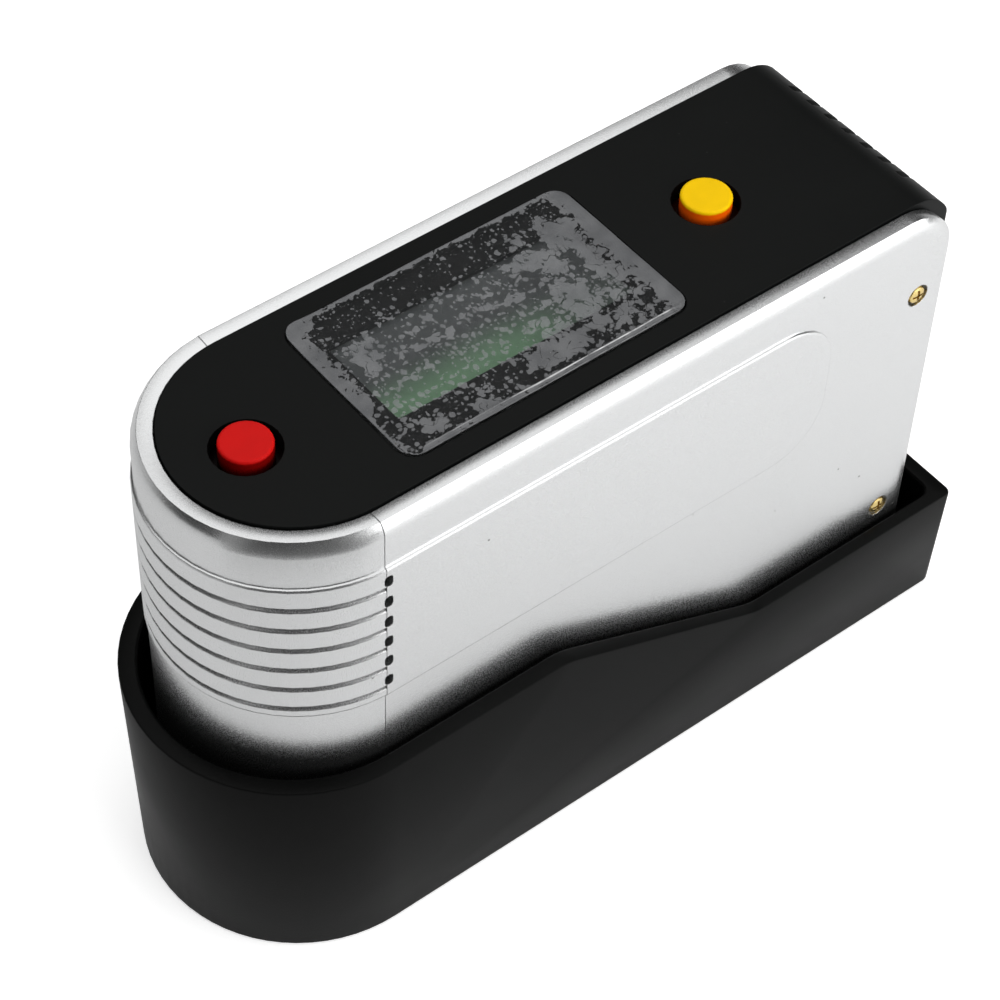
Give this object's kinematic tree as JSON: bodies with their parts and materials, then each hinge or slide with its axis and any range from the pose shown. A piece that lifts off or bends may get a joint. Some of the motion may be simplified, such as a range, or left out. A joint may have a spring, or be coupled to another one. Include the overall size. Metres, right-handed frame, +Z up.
{
  "type": "gloss meter",
  "caption": "Hand-held gloss meter with a round nose, sunk display window and push buttons, standing in its black open-topped calibration holder.",
  "frame": {"origin": "centre of the overall box on the surface that the holder stands on", "axes": "+X from the round nose to the square rear, +Y to the far side, +Z up"},
  "size_m": [0.1144, 0.0428, 0.0745],
  "materials": {
    "moulded_black": "fine-grained moulded black",
    "holder_black": "satin black moulding",
    "silver_paint": "satin silver metallic paint on moulded plastic",
    "red_button": "smooth red moulding",
    "yellow_button": "smooth yellow moulding",
    "clear_plastic": "clear polished",
    "protective_film": "clear film, wrinkled and lifting in patches",
    "display_glass": "grey-green liquid-crystal glass",
    "board_green": "green solder mask",
    "cell_jacket": "plain dark jacket",
    "contact_metal": "bright plated",
    "black_anodised": "black anodised, matt",
    "lens_glass": "polished",
    "filter_green": "polished green",
    "lamp_clear": "clear",
    "tile_glass": "polished black",
    "foam_pad": "closed-cell foam",
    "brass": "bright",
    "steel": "plain zinc-plated"
  },
  "bodies": {
    "meter": {"aa_cell": "cell_jacket", "base_plate": "moulded_black", "base_screw_1": "steel", "base_screw_2": "steel", "base_screw_3": "steel", "base_screw_4": "steel", "board_screw_1": "steel", "board_screw_2": "steel", "board_screw_3": "steel", "board_screw_4": "steel", "calibration_tile": "tile_glass", "cell_spring": "contact_metal", "display_frame": "moulded_black", "display_glass": "display_glass", "far_lower_screw": "brass", "far_shell": "silver_paint", "far_upper_screw": "brass", "front_contact": "contact_metal", "green_filter": "filter_green", "holder": "holder_black", "inner_frame": "moulded_black", "lamp": "lamp_clear", "light_sensor": "contact_metal", "main_board": "board_green", "near_lower_screw": "brass", "near_shell": "silver_paint", "near_upper_screw": "brass", "nose_cap": "silver_paint", "optics_block": "black_anodised", "processor": "moulded_black", "receiver_lens": "lens_glass", "receiver_slit": "black_anodised", "receiver_spacer": "black_anodised", "red_switch": "moulded_black", "source_lens": "lens_glass", "source_slit": "black_anodised", "source_spacer": "black_anodised", "tile_pad": "foam_pad", "top_cover": "moulded_black", "window": "clear_plastic", "window_film": "protective_film", "yellow_switch": "moulded_black"},
    "red_key": {"red_button": "red_button", "red_plunger": "moulded_black"},
    "yellow_key": {"yellow_button": "yellow_button", "yellow_plunger": "moulded_black"}
  },
  "joints": [
    {"name": "red_press", "type": "slide", "parent": "meter", "child": "red_key", "axis": [0, 0, -1], "range_m": [0, 0.0007], "stiffness_N_per_m": 1500},
    {"name": "yellow_press", "type": "slide", "parent": "meter", "child": "yellow_key", "axis": [0, 0, -1], "range_m": [0, 0.0007], "stiffness_N_per_m": 1500}
  ]
}
